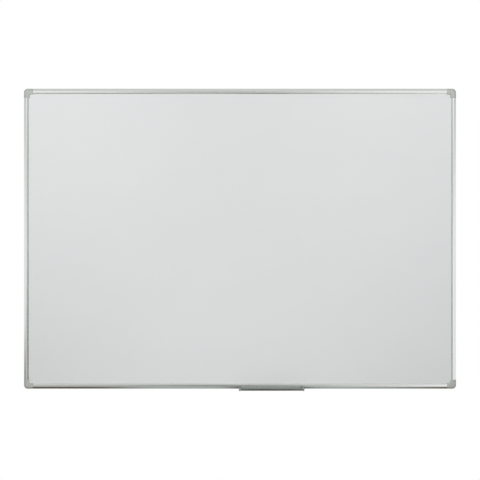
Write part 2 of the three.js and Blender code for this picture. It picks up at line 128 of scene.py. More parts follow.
# Pen tray
TRAY_LENGTH = 270
TRAY_CENTRE_X = 130.5
TRAY_TOP_U = -0.6
TRAY_THICKNESS = 2
TRAY_BOTTOM_U = TRAY_TOP_U - TRAY_THICKNESS
TRAY_BACK_W = 1.5
TRAY_FRONT_W = 62
TRAY_ROUNDING = 8
TRAY_LIP_TOP_U = 7.5
TONGUE_CLEARANCE = 0.4
PORT_RADIUS = 1.8
PORT_WALL = 1.2
PORT_BOSS_RADIUS = PORT_RADIUS + PORT_WALL
PORT_MOUTH = 1.6
REAR_PORT = (1.9, 49)  # centre, as (u, w)
FRONT_PORT = (2.9, 56.5)

# Tray end cap
END_CAP_LENGTH = 8
END_CAP_PLATE = 2.2
END_CAP_PROUD = 0.8
END_CAP_CLEARANCE = 0.8
END_CAP_BACK_W = CORNER_DEPTH + END_CAP_CLEARANCE
END_CAP_FACE_ROUNDING = 0.7
END_CAP_RIM_ROUNDING = 0.2
END_CAP_TOP_ROUNDINGS = (2, 3)  # of the shield's upper corners, front and back
POCKET_TOP_ROUNDINGS = (1.5, 2)
PIN_LENGTH = 10
PIN_LEAD = 0.7
PIN_TIP_SHARE = 0.7  # the tip's radius as a share of the pin's
PIN_SIDES = 24

# Roundings that many edges share
CRISP = 0.15
FINE = 0.2
SMALL = 0.3
SOFT = 0.5

# Mesh making
MERGE_DISTANCE = 0.0001  # for points that were drawn twice
WELD_DISTANCE = 0.002  # for what booleans leave
LEVEL_SPACING = 0.02  # least distance between two layers of the corner moulding
DEGREES_PER_STEP = 18
BEND_STEPS = 20
SMOOTH_ANGLE = math.radians(32)


# Points in a section

def arc(centre, radius, start, end, steps):
    """Points along an arc, given in degrees, both ends included."""
    angles = [math.radians(start + (end - start) * i / steps) for i in range(steps + 1)]
    return [(centre[0] + radius * math.cos(a), centre[1] + radius * math.sin(a)) for a in angles]


def rounded(corners):
    """Closed outline whose corners are given as (a, b) if sharp, or (a, b, radius).

    A radius too large for its sides shrinks, so that a short straight stretch is left.
    """
    most_of_side = 0.48
    points = []
    for i, corner in enumerate(corners):
        if len(corner) == 2:
            points.append(corner)
            continue
        here = Vector(corner[:2])
        before = Vector(corners[i - 1][:2]) - here
        after = Vector(corners[(i + 1) % len(corners)][:2]) - here
        half = before.angle(after) / 2
        room = most_of_side * min(before.length, after.length)
        reach = min(corner[2] / math.tan(half), room)
        radius = reach * math.tan(half)
        middle = before.normalized() + after.normalized()
        centre = here + middle.normalized() * radius / math.sin(half)
        start = here + before.normalized() * reach - centre
        end = here + after.normalized() * reach - centre
        start_angle = math.degrees(math.atan2(start.y, start.x))
        turn = (math.degrees(math.atan2(end.y, end.x)) - start_angle + 180) % 360 - 180
        steps = max(2, round(abs(turn) / DEGREES_PER_STEP))
        points += arc(centre, radius, start_angle, start_angle + turn, steps)
    return points


def edge_arc(radius, side_u, front_w, steps=16):
    """Outer front edge of a rail or moulding, from a given u on the side to a given w on the front."""
    start = math.degrees(math.acos((side_u - EDGE_CENTRE[0]) / radius))
    end = 180 - math.degrees(math.asin((front_w - EDGE_CENTRE[1]) / radius))
    return arc(EDGE_CENTRE, radius, start, end, steps)


def stadium(radius, reach, steps=16):
    """Slot outline centred on the origin, along its first direction."""
    straight = reach - radius
    return arc((straight, 0), radius, 90, -90, steps) + arc((-straight, 0), radius, 270, 90, steps)


# Solids

def along_x(a, b, t):
    """Section point (u, w) at a distance t along X."""
    return Vector((t, -b, a)) * MM


def along_z(a, b, t):
    """Section point (u, w) at a distance t along Z."""
    return Vector((a, -b, t)) * MM


def along_w(a, b, t):
    """Outline point (x, z) at a distance t from the wall."""
    return Vector((a, -t, b)) * MM


def linked(name, data):
    """New object in the scene on a mesh, a light or a camera."""
    thing = bpy.data.objects.new(name, data)
    bpy.context.scene.collection.objects.link(thing)
    return thing


def new_object(name, bm):
    bmesh.ops.remove_doubles(bm, verts=bm.verts[:], dist=MERGE_DISTANCE * MM)
    bmesh.ops.recalc_face_normals(bm, faces=bm.faces[:])
    mesh = bpy.data.meshes.new(name)
    bm.to_mesh(mesh)
    bm.free()
    return linked(name, mesh)


def prism(name, place, outline, low, high, holes=()):
    """Straight solid of one section, with holes right through."""
    bm = bmesh.new()
    for loop in [outline, *holes]:
        corners = [bm.verts.new(place(a, b, low)) for a, b in loop]
        for start, end in zip(corners, corners[1:] + corners[:1]):
            bm.edges.new((start, end))
    bmesh.ops.triangle_fill(bm, use_beauty=True, edges=bm.edges[:])
    grown = bmesh.ops.extrude_face_region(bm, geom=bm.faces[:])["geom"]
    moved = [element for element in grown if isinstance(element, bmesh.types.BMVert)]
    bmesh.ops.translate(bm, verts=moved, vec=place(0, 0, high) - place(0, 0, low))
    return new_object(name, bm)


def loft(name, place, layers):
    """Closed solid through (outline, t) layers whose outlines have the same number of points."""
    bm = bmesh.new()
    rings = [[bm.verts.new(place(a, b, t)) for a, b in outline] for outline, t in layers]
    for low, high in zip(rings, rings[1:]):
        for i in range(len(low)):
            j = (i + 1) % len(low)
            bm.faces.new((low[i], low[j], high[j], high[i]))
    ends = [bm.faces.new(rings[0]), bm.faces.new(rings[-1])]
    bmesh.ops.triangulate(bm, faces=ends)
    return new_object(name, bm)


def turned(name, profile, steps):
    """Solid turned about Y from (radius, y) points that start and end on the axis."""
    bm = bmesh.new()
    rings = []
    for radius, y in profile:
        count = steps if radius else 1
        angles = [math.tau * i / count for i in range(count)]
        ring = [Vector((radius * math.cos(a), y, radius * math.sin(a))) * MM for a in angles]
        rings.append([bm.verts.new(point) for point in ring])
    for low, high in zip(rings, rings[1:]):
        for i in range(steps):
            j = (i + 1) % steps
            corners = [low[i % len(low)], low[j % len(low)], high[j % len(high)], high[i % len(high)]]
            bm.faces.new(list(dict.fromkeys(corners)))
    return new_object(name, bm)


def combine(piece, tool, operation):
    """Boolean of two solids. The tool is used up."""
    modifier = piece.modifiers.new("combine", "BOOLEAN")
    modifier.operation = operation
    modifier.solver = "EXACT"
    modifier.object = tool
    graph = bpy.context.evaluated_depsgraph_get()
    mesh = bpy.data.meshes.new_from_object(piece.evaluated_get(graph))
    piece.modifiers.clear()
    piece.data = mesh
    bpy.data.objects.remove(tool)


def cut(piece, tool):
    combine(piece, tool, "DIFFERENCE")


def join(piece, tool):
    combine(piece, tool, "UNION")


def weld(piece):
    """Merges vertices so near each other that they leave hairline faces, where cuts share a plane."""
    bm = bmesh.new()
    bm.from_mesh(piece.data)
    bmesh.ops.remove_doubles(bm, verts=bm.verts[:], dist=WELD_DISTANCE * MM)
    bm.to_mesh(piece.data)
    bm.free()


def shifted(piece, x, z=0):
    """Moves a piece's mesh by millimetres."""
    piece.data.transform(Matrix.Translation(Vector((x, 0, z)) * MM))
    return piece


def finished(piece, material, body, nodes):
    """Smooth shading, finish, body and the CAD nodes that the piece stands for."""
    mesh = piece.data
    mesh.materials.clear()
    mesh.materials.append(material)
    mesh.shade_smooth()
    mesh.set_sharp_from_angle(angle=SMOOTH_ANGLE)
    weighted = piece.modifiers.new("flat faces stay flat", "WEIGHTED_NORMAL")
    weighted.keep_sharp = True
    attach(piece, body)
    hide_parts(*nodes)


# Node materials

def add(tree, kind, inputs=None, **settings):
    """Shader node with its settings, and inputs given as values or as sockets to link."""
    node = tree.nodes.new("ShaderNode" + kind)
    for key, value in settings.items():
        setattr(node, key, value)
    for key, value in (inputs or {}).items():
        if isinstance(value, bpy.types.NodeSocket):
            tree.links.new(value, node.inputs[key])
        else:
            node.inputs[key].default_value = value
    return node


def new_material(name):
    material = bpy.data.materials.new(name)
    material.use_nodes = True
    material.node_tree.nodes.clear()
    return material, material.node_tree


def object_noise(tree, size, detail, stretch=(1, 1, 1)):
    """Noise of a given grain size in millimetres, drawn out along the object's axes by stretch."""
    place = add(tree, "TexCoord").outputs["Object"]
    scale = [1 / (size * MM * s) for s in stretch]
    mapped = add(tree, "Mapping", {"Vector": place, "Scale": scale})
    return add(tree, "TexNoise", {"Vector": mapped.outputs["Vector"], "Scale": 1.0, "Detail": detail})


def between(tree, factor, low, high):
    """Value from low to high as the factor goes from 0 to 1."""
    return add(tree, "MapRange", {"Value": factor, "To Min": low, "To Max": high}).outputs["Result"]


def blend_colour(tree, factor, first, second):
    mix = add(tree, "Mix", data_type="RGBA")
    for key, value in (("Factor", factor), ("A", first), ("B", second)):
        socket = next(s for s in mix.inputs if s.name == key and s.enabled)
        if isinstance(value, bpy.types.NodeSocket):
            tree.links.new(value, socket)
        else:
            socket.default_value = (*value, 1) if isinstance(value, tuple) else value
    return next(s for s in mix.outputs if s.enabled)


def surface(material, tree, shader):
    output = add(tree, "OutputMaterial")
    tree.links.new(shader.outputs[0], output.inputs["Surface"])
    return material


def anodised_aluminium(name, dark, light, roughness):
    """Satin anodised extrusion, with die lines along the object's X."""
    material, tree = new_material(name)
    lines = object_noise(tree, 0.5, 3, (900, 1, 1)).outputs["Fac"]
    patches = object_noise(tree, 60, 2, (6, 1, 1)).outputs["Fac"]
    bump = add(tree, "Bump", {"Strength": 0.15, "Distance": 0.00003, "Height": lines})
    shader = add(tree, "BsdfPrincipled", {
        "Base Color": blend_colour(tree, patches, dark, light),
        "Roughness": between(tree, lines, roughness - 0.05, roughness + 0.07),
        "Normal": bump.outputs["Normal"],
        "Metallic": 1.0,
    })
    return surface(material, tree, shader)


def moulded_plastic(name, dark, light):
    """Grey moulded plastic with a fine eroded grain."""
    material, tree = new_material(name)
    grain = object_noise(tree, 0.45, 2).outputs["Fac"]
    mottle = object_noise(tree, 9, 4).outputs["Fac"]
    bump = add(tree, "Bump", {"Strength": 0.35, "Distance": 0.00006, "Height": grain})
    shader = add(tree, "BsdfPrincipled", {
        "Base Color": blend_colour(tree, mottle, dark, light),
        "Roughness": between(tree, mottle, 0.42, 0.54),
        "Normal": bump.outputs["Normal"],
        "IOR": 1.5,
    })
    return surface(material, tree, shader)


def writing_lacquer():
    """Glossy white lacquer on steel, with the faint haze that wiping leaves."""
    material, tree = new_material("writing_lacquer")
    haze = object_noise(tree, 260, 3, (1.6, 1, 0.8)).outputs["Fac"]
    wiping = object_noise(tree, 14, 4, (7, 1, 1)).outputs["Fac"]
    peel = object_noise(tree, 3, 2).outputs["Fac"]
    bump = add(tree, "Bump", {"Strength": 0.06, "Distance": 0.00005, "Height": peel})
    shader = add(tree, "BsdfPrincipled", {
        "Base Color": blend_colour(tree, haze, (0.785, 0.80, 0.805), (0.815, 0.828, 0.83)),
        "Roughness": between(tree, wiping, 0.14, 0.26),
        "Normal": bump.outputs["Normal"],
        "IOR": 1.5,
    })
    return surface(material, tree, shader)


def honeycomb_card():
    """Brown card honeycomb, seen end on as cell walls, with painted shade in the hollow cells between
    them.
    """
    material, tree = new_material("core_card")
    place = add(tree, "TexCoord").outputs["Object"]
    cells = add(tree, "TexVoronoi", {"Vector": place, "Scale": 90.0}, feature="DISTANCE_TO_EDGE")
    edge = cells.outputs["Distance"]
    wall = add(tree, "MapRange", {"Value": edge, "From Max": 0.12}).outputs["Result"]
    fibre = object_noise(tree, 1.2, 4, (4, 1, 1)).outputs["Fac"]
    card = blend_colour(tree, fibre, (0.36, 0.24, 0.13), (0.47, 0.33, 0.19))
    bump = add(tree, "Bump", {"Strength": 0.6, "Distance": 0.0006, "Height": wall}, invert=True)
    shader = add(tree, "BsdfPrincipled", {
        # Painted shade: away from its walls, each hollow cell is coloured dark brown for the shade
        # inside it.
        "Base Color": blend_colour(tree, wall, card, (0.14, 0.09, 0.05)),
        "Roughness": 0.9,
        "Normal": bump.outputs["Normal"],
    })
    return surface(material, tree, shader)


def galvanised_steel():
    """Galvanised sheet with crystal spangle."""
    material, tree = new_material("back_steel")
    place = add(tree, "TexCoord").outputs["Object"]
    ragged = object_noise(tree, 7, 2).outputs["Color"]
    shift = (0.004, 0.004, 0.004)
    warp = add(tree, "VectorMath", {0: ragged, 1: shift}, operation="MULTIPLY")
    warped = add(tree, "VectorMath", {0: place, 1: warp.outputs["Vector"]}, operation="ADD")
    crystals = add(tree, "TexVoronoi", {"Vector": warped.outputs["Vector"], "Scale": 110.0})
    tone = add(tree, "SeparateColor", {"Color": crystals.outputs["Color"]})
    feather = object_noise(tree, 1.6, 3, (5, 1, 1)).outputs["Fac"]
    bump = add(tree, "Bump", {"Strength": 0.2, "Distance": 0.00004, "Height": feather})
    shader = add(tree, "BsdfPrincipled", {
        "Base Color": blend_colour(tree, tone.outputs["Red"], (0.53, 0.55, 0.56), (0.63, 0.65, 0.66)),
        "Roughness": between(tree, tone.outputs["Green"], 0.34, 0.52),
        "Normal": bump.outputs["Normal"],
        "Metallic": 1.0,
    })
    return surface(material, tree, shader)


def zinc_plate():
    """Bright zinc plating with a faint warm cast."""
    material, tree = new_material("screw_zinc")
    cast = object_noise(tree, 1.5, 2).outputs["Fac"]
    scuffs = object_noise(tree, 0.3, 3).outputs["Fac"]
    shader = add(tree, "BsdfPrincipled", {
        "Base Color": blend_colour(tree, cast, (0.66, 0.67, 0.66), (0.74, 0.72, 0.64)),
        "Roughness": between(tree, scuffs, 0.22, 0.4),
        "Metallic": 1.0,
    })
    return surface(material, tree, shader)


frame_metal = anodised_aluminium("frame_aluminium", (0.865, 0.88, 0.87), (0.915, 0.93, 0.92), 0.22)
# Painted shade and painted reflection: the tray's aluminium is the frame's finish with a darker base
# colour, which stands in for the shade on the tray and the dark floor it mirrors.
tray_metal_painted_shade = anodised_aluminium("tray_aluminium", (0.50, 0.53, 0.52), (0.56, 0.59, 0.58), 0.24)
frame_plastic = moulded_plastic("corner_plastic", (0.49, 0.505, 0.48), (0.53, 0.545, 0.52))
cap_plastic = moulded_plastic("tray_plastic", (0.27, 0.285, 0.275), (0.31, 0.325, 0.31))
zinc = zinc_plate()


# Countersunk screws

def screw_hole(x, u):
    """Room for a screw, open at the back."""
    head = SCREW_HEAD_RADIUS + SCREW_CLEARANCE
    shank = SCREW_SHANK_RADIUS + SCREW_CLEARANCE
    end = -(SCREW_LENGTH + OVERCUT)
    profile = [
        (0, end), (shank, end), (shank, -(SCREW_SUNK + head - shank)),
        (head, -SCREW_SUNK), (head, OVERCUT), (0, OVERCUT),
    ]
    return shifted(turned("screw_hole", profile, SCREW_HOLE_SIDES), x, u)


def screw_mesh():
    """Thread, countersunk head with a rolled edge, and a tapered cross recess."""
    head_end = SCREW_SUNK + SCREW_HEAD_RADIUS - SCREW_SHANK_RADIUS
    thread = []
    for i in range(SCREW_THREADS):
        crest = SCREW_LENGTH - SCREW_TIP - i * SCREW_PITCH
        thread += [(SCREW_CORE_RADIUS, -crest - SCREW_PITCH / 2), (SCREW_SHANK_RADIUS, -crest)]
    # Each point of the head's rolled edge is this far in from its radius and below its top
    rolled_edge = [
        (SCREW_HEAD_RADIUS - inward, -SCREW_SUNK - below)
        for inward, below in ((0.12, 0.22), (0, 0.12), (0.05, 0.03), (0.2, 0))
    ]
    profile = [
        (0, -SCREW_LENGTH),
        (SCREW_POINT, -SCREW_LENGTH + SCREW_POINT),
        *thread,
        (SCREW_CORE_RADIUS, -head_end - SCREW_NECK),
        (SCREW_SHANK_RADIUS, -head_end),
        *rolled_edge,
        (0, -SCREW_SUNK),
    ]
    screw = turned("screw", profile, SCREW_SIDES)
    top = rounded([
        (a * RECESS_REACH, b * RECESS_HALF_WIDTH, RECESS_ROUNDING)
        for a, b in ((1, 1), (1, -1), (-1, -1), (-1, 1))
    ])
    tip = [(a * RECESS_TAPER[0], b * RECESS_TAPER[1]) for a, b in top]
    for _ in range(2):
        layers = [(top, -OVERCUT / 4), (top, SCREW_SUNK), (tip, RECESS_DEPTH)]
        cut(screw, loft("recess", along_w, layers))
        top = [(b, -a) for a, b in top]
        tip = [(b, -a) for a, b in tip]
    return screw


# Rails

def rail_section(lip_reach):
    """Outline and closed chamber of a rail."""
    mouth = [GROOVE_W - GROOVE_MOUTH / 2, GROOVE_W + GROOVE_MOUTH / 2]
    groove = [GROOVE_W - GROOVE_WIDTH / 2, GROOVE_W + GROOVE_WIDTH / 2]
    under_face = RAIL_DEPTH - RAIL_WALL
    face_end = lip_reach - LIP_SLOPE_RUN
    outer = edge_arc(EDGE_RADIUS, 0, RAIL_DEPTH)
    outline = rounded([
        (0, 0, SOFT),
        (0, mouth[0], SMALL),
        (GROOVE_LIP, mouth[0], FINE),
        (GROOVE_LIP, groove[0], CRISP),
        (GROOVE_DEPTH, groove[0], SMALL),
        (GROOVE_DEPTH, groove[1], SMALL),
        (GROOVE_LIP, groove[1], CRISP),
        (GROOVE_LIP, mouth[1], FINE),
        (0, mouth[1], SMALL),
        (*outer[0], EDGE_BLENDS[0]),
        *outer[1:-1],
        (*outer[-1], EDGE_BLENDS[1]),
        (face_end, RAIL_DEPTH, 2 * SOFT),
        (lip_reach, RAIL_DEPTH - LIP_SLOPE_DROP, SOFT),
        (lip_reach, LIP_FOOT_W, FINE),
        (lip_reach - RAIL_WALL, LIP_FOOT_W, FINE),
        (face_end - LIP_BEND_BACK, under_face, SOFT),
        (PANEL_STOP_U, under_face, SMALL),
        (PANEL_STOP_U, LEDGE_TOP_W, SMALL),
        (LEDGE_REACH, LEDGE_TOP_W, LEDGE_ROUNDING),
        (LEDGE_REACH, LEDGE_TOP_W - LEDGE_THICKNESS, LEDGE_ROUNDING),
        (PANEL_STOP_U, LEDGE_TOP_W - LEDGE_THICKNESS, SOFT),
        (PANEL_STOP_U, 0, SOFT),
    ])
    inner = edge_arc(EDGE_RADIUS - RAIL_WALL, RAIL_WALL, under_face)
    groove_wall_u = GROOVE_DEPTH + RAIL_WALL
    chamber = rounded([
        (RAIL_WALL, RAIL_WALL, SMALL),
        (RAIL_WALL, groove[0] - RAIL_WALL, SMALL),
        (groove_wall_u, groove[0] - RAIL_WALL, SMALL),
        (groove_wall_u, groove[1] + RAIL_WALL, SMALL),
        (RAIL_WALL, groove[1] + RAIL_WALL, SMALL),
        *inner,
        (CHAMBER_END_U, under_face, SMALL),
        (CHAMBER_END_U, RAIL_WALL, SMALL),
    ])
    return outline, chamber


def rail_mesh(span, lip_reach):
    """Rail along X, centred, with its outer side at z = 0."""
    end = span / 2 - CORNER_LEG - GAP
    outline, chamber = rail_section(lip_reach)
    rail = prism("rail", along_x, outline, -end, end, [chamber])
    for side in (-1, 1):
        cut(rail, screw_hole(side * (span / 2 - SCREW_FROM_CORNER), SCREW_U))
    return rail


def side_frame(turn, across):
    """Place of a frame side that is drawn as the bottom one."""
    return Matrix.Rotation(math.radians(turn), 4, "Y") @ Matrix.Translation((0, 0, -across / 2 * MM))


rail_level = rail_mesh(WIDTH, LIP_REACH["level"])
rail_upright = rail_mesh(HEIGHT, LIP_REACH["upright"])
screw = screw_mesh()

# Each side's rail, its length, the board's size across it, its turn and the names of its ends
sides = [
    ("bottom", rail_level, WIDTH, HEIGHT, 0, ("left", "right")),
    ("left", rail_upright, HEIGHT, WIDTH, 90, ("top", "bottom")),
    ("top", rail_level, WIDTH, HEIGHT, 180, ("right", "left")),
    ("right", rail_upright, HEIGHT, WIDTH, -90, ("bottom", "top")),
]
for name, source, span, across, turn, ends in sides:
    rail = linked(f"dressed_rail_{name}", source.data)
    rail.matrix_world = side_frame(turn, across)
    finished(rail, frame_metal, "board", [f"rail_{name}"])
    for direction, end in zip((-1, 1), ends):
        node = f"screw_{name}_rail_{end}"
        fixing = linked(f"dressed_{node}", screw.data)
        at = Vector((direction * (span / 2 - SCREW_FROM_CORNER), 0, SCREW_U)) * MM
        fixing.matrix_world = side_frame(turn, across) @ Matrix.Translation(at)
        finished(fixing, zinc, "board", [node])
for template in (rail_level, rail_upright, screw):
    bpy.data.objects.remove(template)


# Corner mouldings

def quarter_inset(w, start, radius):
    """How far a face has drawn in at w, where it rounds over from start with a radius."""
    over = min(max(0, w - start), radius)
    return radius - math.sqrt(radius ** 2 - over ** 2)


def edge_inset(profile, w):
    """How far the outer edge has drawn in at w, read off its (u, w) profile."""
    for (u0, w0), (u1, w1) in zip(profile, profile[1:]):
        if w0 <= w < w1:
            return u0 + (u1 - u0) * (w - w0) / (w1 - w0)
    return profile[-1][0]


def corner_outline(leg, width, outer, inner, end):
    """Moulding seen from the front, with its outer, inner and end faces drawn in."""
    notch = width - inner
    tip = leg - end
    bend = arc((CORNER_RADIUS, CORNER_RADIUS), CORNER_RADIUS - outer, 270, 180, BEND_STEPS)
    return rounded([
        (tip, outer, CORNER_TIP_ROUNDING),
        *bend,
        (outer, tip, CORNER_TIP_ROUNDING),
        (notch, tip, CORNER_TIP_ROUNDING),
        (notch, notch, NOTCH_RADIUS),
        (tip, notch, CORNER_TIP_ROUNDING),
    ])


def quarter_heights(start, radius, degrees_apart):
    """Heights at even angles of a face that rounds over from start with a radius."""
    return [start + radius * math.sin(math.radians(a)) for a in range(0, 91, degrees_apart)]


def corner_block():
    """Outer form of the moulding, rounded over at the front and a little at the back."""
    edge = edge_arc(CORNER_EDGE_RADIUS, 0, CORNER_DEPTH, BEND_STEPS)
    closed = rounded([
        (0, 0),
        (*edge[0], CORNER_EDGE_BLENDS[0]),
        *edge[1:-1],
        (*edge[-1], CORNER_EDGE_BLENDS[1]),
        (CORNER_WIDTH, CORNER_DEPTH),
    ])
    profile = closed[:-1]
    inner_start = CORNER_DEPTH - CORNER_INNER_ROUNDING
    end_start = CORNER_DEPTH - CORNER_END_ROUNDING
    back = CORNER_BACK_ROUNDING
    heights = [back * i / 3 for i in range(4)]
    heights += [w for u, w in profile[1:]]
    heights += quarter_heights(inner_start, CORNER_INNER_ROUNDING, 10)
    heights += quarter_heights(end_start, CORNER_END_ROUNDING, 15)
    levels = []
    for w in sorted(heights):
        if not levels or w - levels[-1] > LEVEL_SPACING:
            levels.append(w)
    levels[-1] = CORNER_DEPTH
    layers = []
    for w in levels:
        at_back = quarter_inset(back - w, 0, back)
        outline = corner_outline(
            CORNER_LEG,
            CORNER_WIDTH,
            edge_inset(profile, w) + at_back,
            quarter_inset(w, inner_start, CORNER_INNER_ROUNDING) + at_back,
            quarter_inset(w, end_start, CORNER_END_ROUNDING) + at_back,
        )
        layers.append((outline, w))
    return loft("corner", along_w, layers)


def corner_hollow():
    """Void behind the moulding's face."""
    steps = 12
    edge = edge_arc(CORNER_EDGE_RADIUS - CORNER_WALL, CORNER_WALL, CORNER_DEPTH - CORNER_WALL, steps)
    inner = PANEL_STOP_U + OVERCUT
    back = KEYHOLE_CAVITY_END_W + CORNER_WALL
    layers = [(corner_outline(HOLLOW_LEG, inner, edge[0][0], 0, 0), back)]
    layers += [(corner_outline(HOLLOW_LEG, inner, u, 0, 0), w) for u, w in edge]
    return loft("corner_hollow", along_w, layers)


def box_tool(x, w, z):
    outline = [(x[0], z[0]), (x[1], z[0]), (x[1], z[1]), (x[0], z[1])]
    return prism("box_tool", along_w, outline, *w)


def tenon_section(inset):
    low, high = TENON_U[0] + inset, TENON_U[1] - inset
    back, front = TENON_W[0] + inset, TENON_W[1] - inset
    sides = [(low, back), (high, back), (high, front), (low, front)]
    return rounded([(u, w, TENON_ROUNDING) for u, w in sides])


def tenon(place):
    """Bar that plugs into a rail, with a bevelled tip."""
    layers = [
        (tenon_section(0), TENON_ROOT),
        (tenon_section(0), TENON_END - TENON_LEAD),
        (tenon_section(TENON_TIP_INSET), TENON_END),
    ]
    return loft("tenon", place, layers)


def corner_mesh():
    """Moulding with its outer corner at x = 0, z = 0 and its legs along +X and +Z."""
    corner = corner_block()
    cut(corner, corner_hollow())
    reach = (PANEL_STOP_U, CORNER_LEG + OVERCUT)
    cut(corner, box_tool(reach, (LEDGE_TOP_W, LIP_FOOT_W), reach))
    middle = CORNER_WIDTH / 2
    entry = arc((middle, middle), KEYHOLE_ENTRY_RADIUS, 0, 360, 48)[:-1]
    cut(corner, prism("entry", along_w, entry, -OVERCUT, KEYHOLE_PLATE + OVERCUT))
    for upright in (False, True):
        for (radius, length), low, high in (
            (KEYHOLE_SLOT, -OVERCUT, KEYHOLE_PLATE + OVERCUT),
            (KEYHOLE_HEAD, KEYHOLE_PLATE, KEYHOLE_CAVITY_END_W),
        ):
            slot = [(b, -a) if upright else (a, b) for a, b in stadium(radius, length)]
            slot = [(middle + a, middle + b) for a, b in slot]
            cut(corner, prism("slot", along_w, slot, low, high))
    for place in (along_x, along_z):
        join(corner, tenon(place))
    cut(corner, screw_hole(SCREW_FROM_CORNER, SCREW_U))
    cut(corner, screw_hole(SCREW_U, SCREW_FROM_CORNER))
    weld(corner)
    return corner


corner = corner_mesh()
for name, turn, x, z in (
    ("bottom_left", 0, -1, -1),
    ("top_left", 90, -1, 1),
    ("top_right", 180, 1, 1),
    ("bottom_right", -90, 1, -1),
):
    moulding = linked(f"dressed_corner_{name}", corner.data)
    place = Matrix.Translation(Vector((x * WIDTH / 2, 0, z * HEIGHT / 2)) * MM)
    moulding.matrix_world = place @ Matrix.Rotation(math.radians(turn), 4, "Y")
    finished(moulding, frame_plastic, "board", [f"corner_{name}"])
bpy.data.objects.remove(corner)


# Pen tray

def port_outline(centre, start):
    """Slit port on the tray's floor, walked from its front side to its back one."""
    u, w = centre
    half = PORT_MOUTH / 2
    outer = math.degrees(math.asin(half / PORT_BOSS_RADIUS))
    inner = math.degrees(math.asin(half / PORT_RADIUS))
    return [
        *arc(centre, PORT_BOSS_RADIUS, start, outer, 10),
        *arc(centre, PORT_RADIUS, inner, 360 - inner, 28),
        *arc(centre, PORT_BOSS_RADIUS, -outer, -90, 10),
        (TRAY_TOP_U, w - PORT_BOSS_RADIUS, SOFT),
    ]


def tray_section():
    """Floor, front lip, slit ports and the T-shaped tongue for the rail's groove."""
    bend = (TRAY_BOTTOM_U + TRAY_ROUNDING, TRAY_FRONT_W - TRAY_ROUNDING)
    inner_radius = TRAY_ROUNDING - TRAY_THICKNESS
    lip_radius = TRAY_THICKNESS / 2
    neck = GROOVE_MOUTH / 2 - TONGUE_CLEARANCE
    head = GROOVE_WIDTH / 2 - TONGUE_CLEARANCE
    head_u = (GROOVE_LIP + TONGUE_CLEARANCE, GROOVE_DEPTH - TONGUE_CLEARANCE)

    # Where the front port's boss leaves the inner bend
    offset = Vector(FRONT_PORT) - Vector(bend)
    along = (inner_radius ** 2 - PORT_BOSS_RADIUS ** 2 + offset.length_squared) / (2 * offset.length)
    across = math.sqrt(inner_radius ** 2 - along ** 2)
    direction = offset.normalized()
    meeting = Vector(bend) + direction * along + Vector((direction.y, -direction.x)) * across
    bend_end = math.degrees(math.atan2(meeting.y - bend[1], meeting.x - bend[0]))
    boss_start = math.degrees(math.atan2(meeting.y - FRONT_PORT[1], meeting.x - FRONT_PORT[0]))
    lip_top = (TRAY_LIP_TOP_U - lip_radius, TRAY_FRONT_W - lip_radius)
    return rounded([
        (TRAY_BOTTOM_U, TRAY_BACK_W, 2 * SMALL),
        *arc(bend, TRAY_ROUNDING, 180, 90, BEND_STEPS),
        *arc(lip_top, lip_radius, 90, -90, 12),
        *arc(bend, inner_radius, 90, bend_end, 6),
        *port_outline(FRONT_PORT, boss_start)[1:],
        (TRAY_TOP_U, REAR_PORT[1] + PORT_BOSS_RADIUS, SOFT),
        *port_outline(REAR_PORT, 90),
        (TRAY_TOP_U, GROOVE_W + neck, SMALL),
        (head_u[0], GROOVE_W + neck, CRISP),
        (head_u[0], GROOVE_W + head, SMALL),
        (head_u[1], GROOVE_W + head, 2 * FINE),
        (head_u[1], GROOVE_W - head, 2 * FINE),
        (head_u[0], GROOVE_W - head, SMALL),
        (head_u[0], GROOVE_W - neck, CRISP),
        (TRAY_TOP_U, GROOVE_W - neck, SMALL),
        (TRAY_TOP_U, TRAY_BACK_W, 2 * FINE),
    ])


def shield(back_w, inset, top_roundings):
    """Corners of the end cap's outline in front of the rail, with its underside starting at back_w."""
    bottom = TRAY_BOTTOM_U - END_CAP_PROUD + inset
    front = TRAY_FRONT_W + END_CAP_PROUD - inset
    top = TRAY_LIP_TOP_U + END_CAP_PROUD - inset
    bend = TRAY_ROUNDING + END_CAP_PROUD - inset
    return [
        (bottom, back_w + inset, SOFT),
        *arc((bottom + bend, front - bend), bend, 180, 90, BEND_STEPS),
        (top, front, top_roundings[0]),
        (top, END_CAP_BACK_W + inset, top_roundings[1]),
    ]


def end_cap_outline(inset):
    """End cap seen from the side: a shield in front of the rail and a foot under it."""
    return rounded([
        *shield(TRAY_BACK_W, inset, END_CAP_TOP_ROUNDINGS),
        (TRAY_TOP_U - inset, END_CAP_BACK_W + inset, SOFT),
        (TRAY_TOP_U - inset, TRAY_BACK_W + inset, SOFT),
    ])


def pocket_outline():
    """Room behind the end cap's plate for the tray's end."""
    return rounded(shield(END_CAP_BACK_W, END_CAP_PLATE, POCKET_TOP_ROUNDINGS))


def end_cap_mesh():
    """Cap with its plate outward of x = 0 by the cap's length, and its pins towards -X."""
    layers = []
    rim = END_CAP_RIM_ROUNDING
    face = END_CAP_FACE_ROUNDING
    for degrees in range(90, -1, -18):
        angle = math.radians(degrees)
        layers.append((end_cap_outline(rim * (1 - math.cos(angle))), rim - rim * math.sin(angle)))
    for degrees in range(0, 91, 15):
        angle = math.radians(degrees)
        x = END_CAP_LENGTH - face + face * math.sin(angle)
        layers.append((end_cap_outline(face * (1 - math.cos(angle))), x))
    cap = loft("end_cap", along_x, layers)
    cut(cap, prism("pocket", along_x, pocket_outline(), -OVERCUT, END_CAP_LENGTH - END_CAP_PLATE))
    plate_middle = END_CAP_LENGTH - END_CAP_PLATE / 2
    radius = PORT_RADIUS - GAP
    rings = [
        (radius * PIN_TIP_SHARE, -PIN_LENGTH),
        (radius, -PIN_LENGTH + PIN_LEAD),
        (radius, plate_middle),
    ]
    for centre in (REAR_PORT, FRONT_PORT):
        pin = [(arc(centre, size, 0, 360, PIN_SIDES)[:-1], x) for size, x in rings]
        join(cap, loft("pin", along_x, pin))
    return cap


